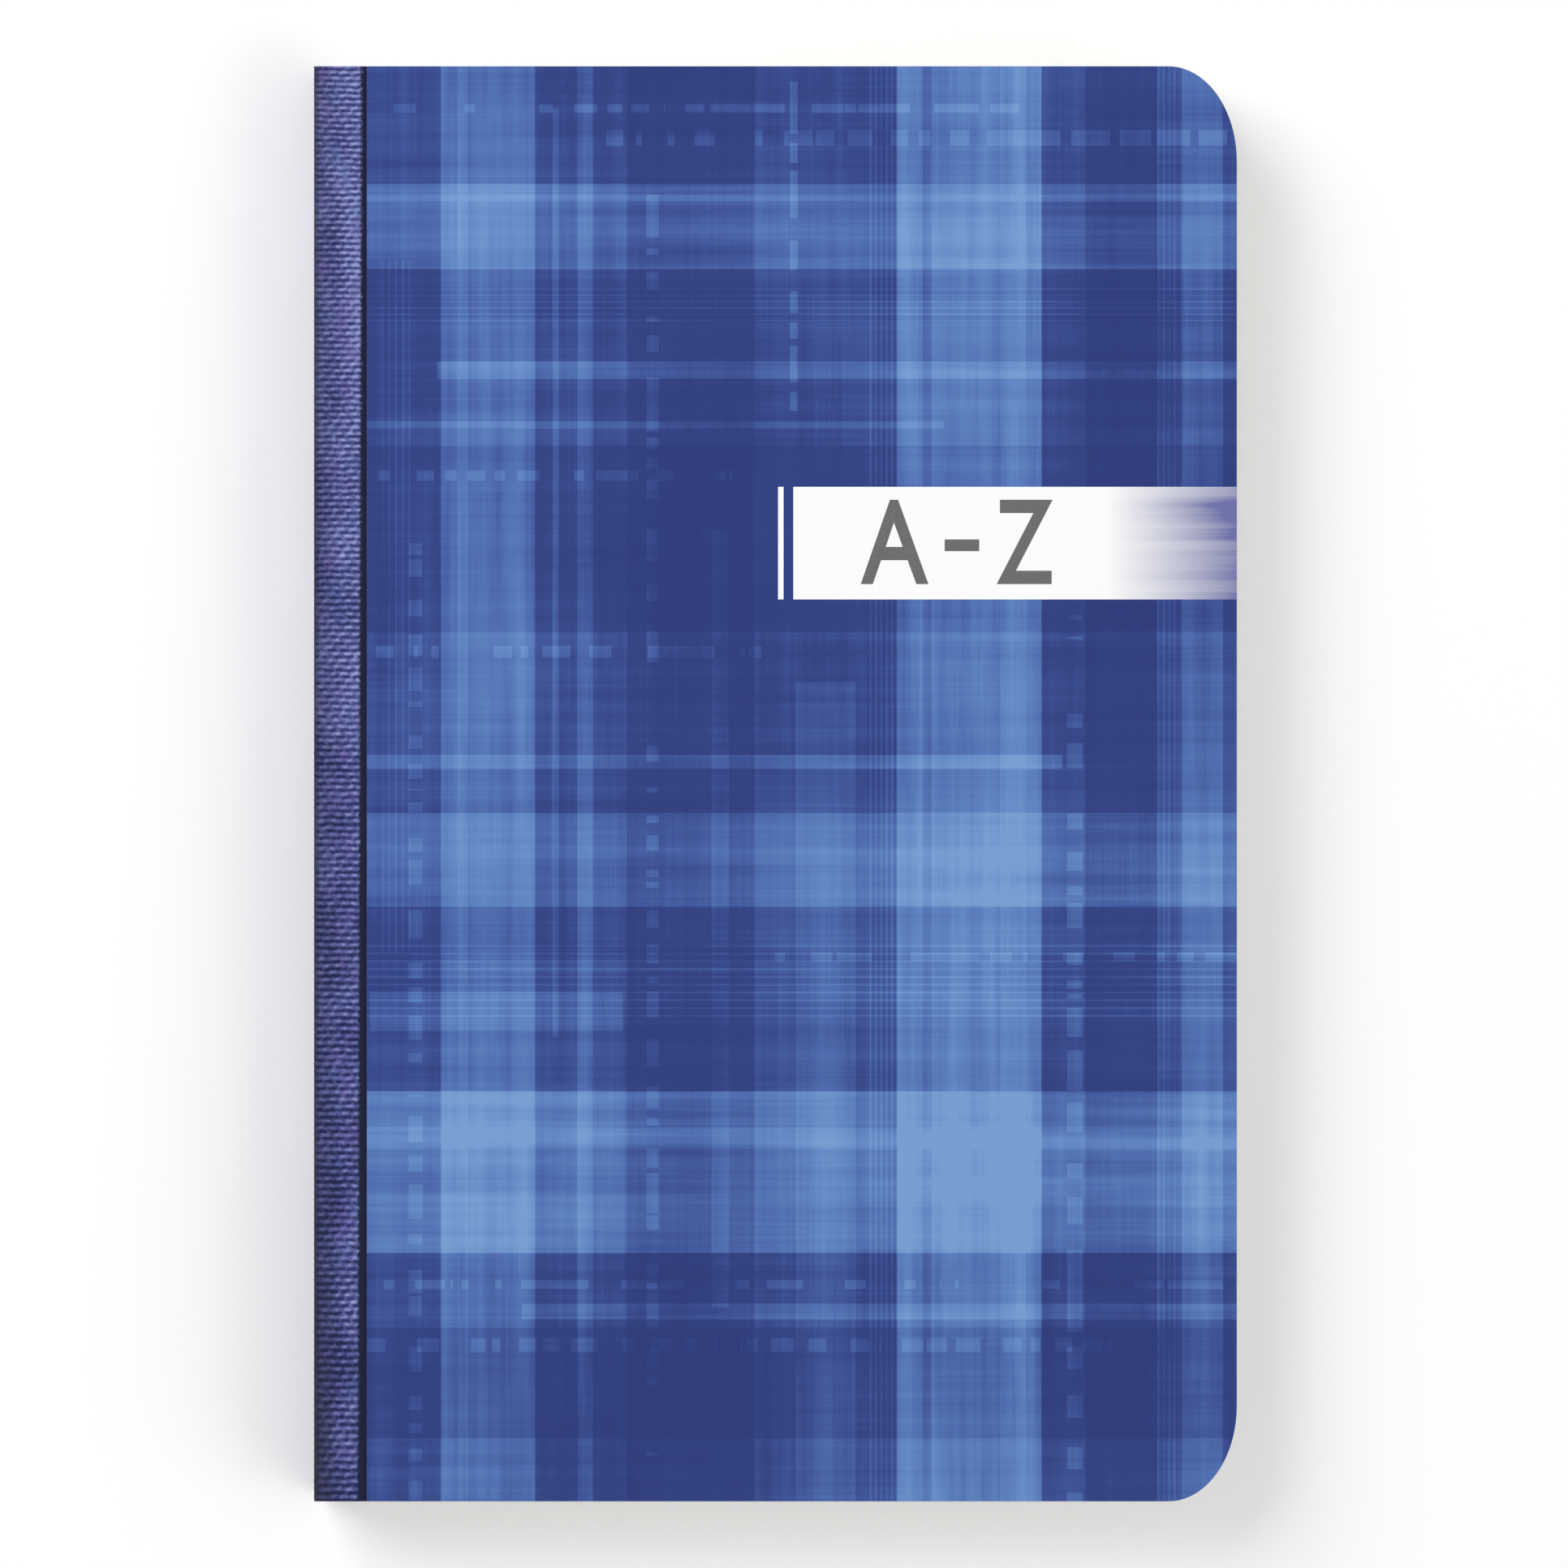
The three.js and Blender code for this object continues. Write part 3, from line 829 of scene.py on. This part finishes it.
# Covers. Each is one sheet of white card, printed with a blue check on the outside and laminated. It
# runs under the cloth to the spine, and its fore edge corners are cut round.
CARD_SEAT = 0.45 * MM  # the card's inside under the outer face of the book
CARD_INSET = 0.015 * MM  # the laminate's face under the outer face of the book
UNDER_CLOTH_THICK = 0.2 * MM
STEP_FROM = 6.32 * MM  # where the card steps up at the edge of the cloth
STEP_TO = 6.36 * MM
CUT_EDGE_BEVEL = 0.04 * MM
CUT_EDGE_ANGLE = 1.2  # radians between two faces, above which an edge was cut

# the label and its letters, from the middle of the cover
LABEL_LEFT = 2.16 * MM
LABEL_TOP = 35.16 * MM
LABEL_FOOT = 21.85 * MM
LABEL_BAR_LEFT = 0.37 * MM
LABEL_BAR_RIGHT = 0.99 * MM
LABEL_SOFT = 0.02 * MM
LABEL_FADE_FROM = 39.2 * MM
LABEL_FADE_PAST = 1 * MM  # the fade would be whole this far past the fore edge
LETTER_SPANS = {"A": (10.14 * MM, 18.17 * MM), "Z": (26.24 * MM, 32.88 * MM)}
LETTER_TALL = 10 * MM
LETTER_MIDDLE = 28.65 * MM
LETTER_HEAVIER = 0.17 * MM
DASH_LOW = 27.55 * MM
DASH_HIGH = 28.95 * MM
DASH_MIDDLE = 22.13 * MM
DASH_WIDTH = 4.1 * MM

# the print's bands and hairlines, all in mm from the middle of the cover
WHOLE = (-90, 90)
HAIRLINE_SHARE = 0.26  # of their pitch
HAIRLINE_SOFT = 0.05
BREAKS_TO_A_METRE = 330
UPRIGHT_BANDS = [
    # centre, half width, softness and tone, then start and end if not whole, and how broken it is
    (23, 8.5, 0.15, 0.42),
    (28.2, 1.5, 0.05, 0.12),
    (18, 0.5, 0.05, -0.16),
    (-34, 5.5, 0.15, 0.3),
    (-37, 0.6, 0.05, 0.12),
    (-10, 7.5, 0.1, -0.14),
    (-6.5, 1.0, 0.05, 0.13, (-62, 30)),
    (6, 3.5, 0.1, 0.14, (-90, 12)),
    (41, 4.2, 0.1, -0.14),
    (50.6, 2.4, 0.1, 0.22),
    (-22.5, 0.9, 0.05, 0.18),
    (-26, 0.35, 0.03, 0.16, (-30, 80)),
    (-14.5, 0.7, 0.03, 0.16, (-80, 70), 0.52),
    (35.5, 0.9, 0.03, 0.17, (-85, 20), 0.5),
    (2.2, 0.45, 0.03, 0.2, (40, 90), 0.47),
    (-42.6, 0.8, 0.03, 0.14, (-90, 30), 0.5),
]
LEVEL_BANDS = [
    (-46, 9.5, 0.15, 0.36),
    (-42, 1.3, 0.05, 0.12),
    (66, 5.0, 0.1, 0.26),
    (69.4, 0.4, 0.03, 0.14),
    (29, 11, 0.1, -0.1),
    (-9, 5.5, 0.1, 0.24),
    (-71, 6.5, 0.1, -0.12),
    (2.6, 0.8, 0.05, 0.22, (-60, 34)),
    (49, 1.0, 0.05, 0.2, (-40, 60)),
    (42.5, 0.4, 0.03, 0.16, (-60, 20)),
    (-27, 2.2, 0.1, 0.15, (-48, -18)),
    (-62.5, 0.9, 0.05, 0.18, (-30, 60)),
    (-59.3, 0.5, 0.03, 0.17, (-60, 60), 0.5),
    (-66.5, 0.8, 0.03, 0.15, (-60, 40), 0.5),
    (76.5, 0.9, 0.03, 0.17, (-20, 60), 0.48),
    (80, 0.5, 0.03, 0.16, (-60, 30), 0.5),
    (15.6, 0.7, 0.03, 0.17, (-52, 0), 0.5),
    (-20.5, 0.5, 0.03, 0.15, (0, 60), 0.47),
    (36.5, 0.6, 0.03, 0.15, (-50, -5), 0.5),
]
HAIRLINES = [
    # which way they run, centre, half width, pitch and tone, then start and end if not whole
    ("level", -23, 4.6, 0.92, 0.14),
    ("level", 57, 2.2, 0.74, 0.13),
    ("upright", 12.5, 1.6, 0.64, 0.16),
    ("upright", 46.6, 1.3, 0.64, 0.13),
    ("upright", -45, 2.0, 0.8, 0.11, (-20, 62)),
]


def mark_group(name, extra):
    """An empty shader group for a mark of the print, and its inputs' sockets."""
    titles = ("Across", "Along", "Centre", "Half Width", "Softness", "Start", "End", "Tone", "Streaks", extra)
    return node_group(name, "ShaderNodeTree", dict.fromkeys(titles, "Float"), {"Tone": "Float"})


def end_mark(group, given, *shares):
    """Puts out a mark's tone, by shares of it, between its soft sides and its ends."""
    away = maths(group, "ABSOLUTE", maths(group, "SUBTRACT", given["Across"], given["Centre"]))
    outer = maths(group, "ADD", given["Half Width"], given["Softness"])
    side = ramped(group, away, outer, given["Half Width"])
    begun = maths(group, "GREATER_THAN", given["Along"], given["Start"])
    going = maths(group, "LESS_THAN", given["Along"], given["End"])
    place(group, "NodeGroupOutput", {"Tone": product(group, side, begun, going, *shares, given["Tone"])})
    return group


def printed_band_group():
    """Shader group: one band of the printed check, uneven along its length and broken where asked."""
    group, given = mark_group("printed_band", "Broken")
    uneven = scaled(group, given["Streaks"], 0.9, 0.55)
    spot = made(group, "ShaderNodeCombineXYZ", {"X": given["Along"], "Y": given["Centre"]})
    breaks = made(group, "ShaderNodeTexNoise", {"Vector": spot, "Scale": BREAKS_TO_A_METRE, "Detail": 1})
    return end_mark(group, given, uneven, maths(group, "GREATER_THAN", breaks, given["Broken"]))


def printed_hairlines_group():
    """Shader group: a set of hairlines side by side in the printed check."""
    group, given = mark_group("printed_hairlines", "Pitch")
    from_centre = maths(group, "SUBTRACT", given["Across"], given["Centre"])
    phase = maths(group, "FRACT", maths(group, "DIVIDE", from_centre, given["Pitch"]))
    line = maths(group, "LESS_THAN", phase, HAIRLINE_SHARE)
    return end_mark(group, given, line, scaled(group, given["Streaks"], 1.6, 0.2))


def printed_mark(tree, group, links, span, tone, lengths, **values):
    """Adds a band or a set of hairlines to a tone. Its lengths and its span are in mm."""
    metres = {title: length * MM for title, length in {**lengths, "Start": span[0], "End": span[1]}.items()}
    mark = made(tree, "ShaderNodeGroup", {**links, **metres, **values}, node_tree=group)
    return maths(tree, "ADD", tone, mark)


def label_colours(tree, x, y, streaks, colour):
    """Leaves a white panel and a thin bar beside it unprinted, with a brushed fade at the fore edge."""
    panel = maths(tree, "GREATER_THAN", x, LABEL_LEFT)
    bar = between(tree, x, LABEL_BAR_LEFT, LABEL_BAR_RIGHT, LABEL_SOFT)
    down = between(tree, y, LABEL_FOOT, LABEL_TOP, LABEL_SOFT)
    fade = ramped(tree, x, LABEL_FADE_FROM, book_high.x + LABEL_FADE_PAST)
    share = product(tree, fade, scaled(tree, streaks, 1.5, 0.3))
    surface = blended(tree, share, srgb(254, 254, 254), srgb(108, 112, 168))
    return blended(tree, product(tree, maths(tree, "MAXIMUM", panel, bar), down), colour, surface)


def printed_check_group():
    """Shader group: a blue check of soft bands, hairlines and broken bars, under a clear film."""
    inputs = {"Place": "Vector", "Seed": "Float"}
    outputs = {"Colour": "Color", "Haze": "Float", "Film": "Float"}
    group, given = node_group("printed_check", "ShaderNodeTree", inputs, outputs)
    parts = place(group, "ShaderNodeSeparateXYZ", {"Vector": given["Place"]}).outputs
    flat = made(group, "ShaderNodeVectorMath", {0: given["Place"], 1: (1, 1, 0)}, operation="MULTIPLY")
    grains = (((420, 14, 1), 3), ((14, 420, 1), 7), ((2600, 30, 1), 11), ((30, 2600, 1), 17))
    upright, level, fine_upright, fine_level = (
        grained(group, flat, to_a_metre, 4, maths(group, "ADD", given["Seed"], seed))
        for to_a_metre, seed in grains
    )
    cloud = grained(group, flat, (26, 26, 1), 3, given["Seed"])
    tone = scaled(group, maths(group, "SUBTRACT", cloud, 0.5), 0.5, 0.36)
    directions = {
        "upright": {"Across": parts["X"], "Along": parts["Y"], "Streaks": upright},
        "level": {"Across": parts["Y"], "Along": parts["X"], "Streaks": level},
    }

    def with_band(tone, links, centre, half_width, softness, strength, span=WHOLE, broken=0):
        lengths = {"Centre": centre, "Half Width": half_width, "Softness": softness}
        return printed_mark(group, printed_band, links, span, tone, lengths, Tone=strength, Broken=broken)

    def with_hairlines(tone, links, centre, half_width, pitch, strength, span=WHOLE):
        lengths = {"Centre": centre, "Half Width": half_width, "Softness": HAIRLINE_SOFT, "Pitch": pitch}
        return printed_mark(group, printed_hairlines, links, span, tone, lengths, Tone=strength)

    for direction, bands in (("upright", UPRIGHT_BANDS), ("level", LEVEL_BANDS)):
        for band in bands:
            tone = with_band(tone, directions[direction], *band)
    for direction, *hairlines in HAIRLINES:
        tone = with_hairlines(tone, directions[direction], *hairlines)
    for streak, amount in ((upright, 0.34), (level, 0.34), (fine_upright, 0.16), (fine_level, 0.16)):
        tone = scaled(group, maths(group, "SUBTRACT", streak, 0.5), amount, tone)
    inks = [
        (0.1, srgb(32, 50, 119)), (0.3, srgb(40, 59, 130)), (0.48, srgb(57, 82, 154)),
        (0.68, srgb(76, 110, 178)), (0.9, srgb(95, 135, 197)), (1.15, srgb(118, 158, 212)),
    ]
    lightest = inks[-1][0]
    steps = [(at / lightest, ink) for at, ink in inks]
    film = grained(group, flat, (90, 90, 1), 2, given["Seed"])
    place(group, "NodeGroupOutput", {
        "Colour": toned(group, maths(group, "DIVIDE", tone, lightest), steps),
        "Haze": ramped(group, film, 0.0, 1.0, 0.32, 0.22),
        "Film": film,
    })
    return group


def printed_check_finish(name, with_label, seed):
    """A blue check printed on white card under a clear film, with a white label on the front."""
    material, tree, shader = finish_named(name)
    place_at, x, y, _ = rest_places(tree)
    check = place(tree, "ShaderNodeGroup", {"Place": place_at, "Seed": seed}, node_tree=printed_check).outputs
    colour = check["Colour"]
    if with_label:
        colour = label_colours(tree, x, y, grained(tree, place_at, (9, 520, 0), 4, 23), colour)
    film = relief(tree, 0.1, 0.02 * MM, check["Film"])
    connect(tree, shader, {
        "Base Color": colour, "Normal": film, "Roughness": check["Haze"], "Specular IOR Level": 0.25,
    })
    return material


def cover_card(name, print_finish, is_back):
    """A cover card with its print outside, bare card inside and a pale cut edge."""
    lines = [spine_x + reach for reach in (*cover_fold_lines, STEP_FROM, STEP_TO)]
    work = flat_panel(trimmed_outline(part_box("front_cover_hinge_strip")[0][0]), lines)
    raised = bmesh.ops.extrude_face_region(work, geom=work.faces[:])["geom"]
    inside_z = book_high.z - CARD_SEAT
    step_x = spine_x + (STEP_FROM + STEP_TO) / 2
    for vertex in work.verts:
        vertex.co.z = inside_z
    for vertex in (part for part in raised if isinstance(part, bmesh.types.BMVert)):
        vertex.co.z = inside_z + UNDER_CLOTH_THICK if vertex.co.x < step_x else book_high.z - CARD_INSET
    bmesh.ops.recalc_face_normals(work, faces=work.faces)
    # where a flat face meets a cut one, past the step
    rim = [e for e in work.edges if len(e.link_faces) == 2 and e.calc_face_angle() > CUT_EDGE_ANGLE
           and min(v.co.x for v in e.verts) > step_x
           and max(abs(f.normal.z) for f in e.link_faces) > 0.9]
    bmesh.ops.bevel(work, geom=rim, offset=CUT_EDGE_BEVEL, segments=2, affect="EDGES", profile=0.5)
    if is_back:
        for vertex in work.verts:
            vertex.co.z = book_high.z - vertex.co.z
        bmesh.ops.reverse_faces(work, faces=work.faces)
    for face in work.faces:
        level = -face.normal.z if is_back else face.normal.z
        face.material_index = 0 if level > 0.5 else 1 if level < -0.5 else 2
    mesh = finished_mesh(name, work)
    for finish in (print_finish, card_inside, card_edge):
        mesh.materials.append(finish)
    return new_piece(name, mesh)


printed_band = printed_band_group()
printed_hairlines = printed_hairlines_group()
printed_check = printed_check_group()
front_print = printed_check_finish("front_print", with_label=True, seed=0)
back_print = printed_check_finish("back_print", with_label=False, seed=31)
card_inside = paper_finish("card_inside", srgb(240, 241, 243))
card_edge = paper_finish("card_edge", srgb(214, 218, 230))
letter_ink = ink_finish("letter_ink", srgb(97, 97, 98), srgb(112, 112, 113), roughness=0.35)

front_cover = cover_card("front_cover_card", front_print, is_back=False)
back_cover = cover_card("back_cover_card", back_print, is_back=True)
letter_z = book_high.z - CARD_INSET + INK_STANDS / 2
for text, (left, right) in LETTER_SPANS.items():
    centre = Vector(((left + right) / 2, LETTER_MIDDLE, letter_z))
    joined(front_cover, printed_letters(text, centre, LETTER_TALL, right - left, LETTER_HEAVIER), letter_ink)
dash = bmesh.new()
bmesh.ops.create_cube(dash, size=1)
dash_middle = Vector((DASH_MIDDLE, (DASH_LOW + DASH_HIGH) / 2, letter_z))
dash_size = Matrix.Diagonal((DASH_WIDTH, DASH_HIGH - DASH_LOW, INK_STANDS, 1))
dash.transform(Matrix.Translation(dash_middle) @ dash_size)
joined(front_cover, finished_mesh("dash", dash), letter_ink)
for side, cover in (("front", front_cover), ("back", back_cover)):
    keep_closed_places(cover)
    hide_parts(f"{side}_cover_board", f"{side}_cover_hinge_strip")
    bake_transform(cover)


# Studio. A white surface under the book and soft light from the sides and above, with the camera
# straight over the front cover, a little to the right of the book's middle as in the picture.
PICTURE_SIDE_PX = 1932
BOOK_TALL_PX = 1768.5
BOOK_MIDDLE_PX = (955, 965.75)
LENS_MM = 200
SENSOR_MM = 36
FLOOR_SIDE = 3.0
FLOOR_DROP = 0.35 * MM  # room under the book for a cover that is folded right back
FLOOR_GLOW = 0.05
ROOM_LIGHT = 0.55  # from all sides, where a white background is 1

metres_per_px = (book_high.y - book_low.y) / BOOK_TALL_PX
picture_side = PICTURE_SIDE_PX * metres_per_px
aim_x = (PICTURE_SIDE_PX / 2 - BOOK_MIDDLE_PX[0]) * metres_per_px
aim_y = (BOOK_MIDDLE_PX[1] - PICTURE_SIDE_PX / 2) * metres_per_px
camera_data = bpy.data.cameras.new("camera")
camera_data.lens = LENS_MM
camera_data.sensor_width = SENSOR_MM
camera_data.clip_start = 0.01
camera_data.clip_end = 20
camera = new_piece("camera", camera_data)
camera.location = (aim_x, aim_y, book_high.z + picture_side * LENS_MM / SENSOR_MM)
bpy.context.scene.camera = camera
bpy.context.scene.view_settings.view_transform = "Standard"

half = FLOOR_SIDE / 2
floor_mesh = bpy.data.meshes.new("floor")
floor_corners = [(x * half, y * half, 0) for x, y in ((-1, -1), (1, -1), (1, 1), (-1, 1))]
floor_mesh.from_pydata(floor_corners, [], [(0, 1, 2, 3)])
floor = new_piece("floor", floor_mesh)
floor.location.z = -FLOOR_DROP
floor_finish, tree, shader = finish_named("floor_finish")
white = (1, 1, 1, 1)
in_view = place(tree, "ShaderNodeLightPath").outputs["Is Camera Ray"]
connect(tree, shader, {
    "Base Color": white, "Roughness": 1, "Specular IOR Level": 0,
    "Emission Color": white, "Emission Strength": product(tree, in_view, FLOOR_GLOW),
})
floor_mesh.materials.append(floor_finish)

world = bpy.data.worlds.new("studio")
bpy.context.scene.world = world
world.use_nodes = True
tree = world.node_tree
ray = place(tree, "ShaderNodeLightPath").outputs
seen = maths(tree, "MAXIMUM", ray["Is Camera Ray"], ray["Is Glossy Ray"])
seen = maths(tree, "MAXIMUM", seen, ray["Is Transmission Ray"])
level = ramped(tree, seen, 0.0, 1.0, 1.0, ROOM_LIGHT)
connect(tree, tree.nodes["Background"], {"Color": white, "Strength": level})


def soft_box(name, direction, distance, size, watts):
    """A square lamp that faces the book."""
    lamp = bpy.data.lights.new(name, "AREA")
    lamp.shape = "SQUARE"
    lamp.size = size
    lamp.energy = watts
    holder = new_piece(name, lamp)
    away = Vector(direction).normalized()
    holder.location = away * distance
    holder.rotation_euler = away.to_track_quat("Z", "Y").to_euler()


soft_box("key_light", direction=(-0.8, 0.7, 1.0), distance=1.2, size=0.8, watts=7.5)
soft_box("fill_light", direction=(1.0, -0.5, 0.9), distance=1.4, size=0.9, watts=3.8)
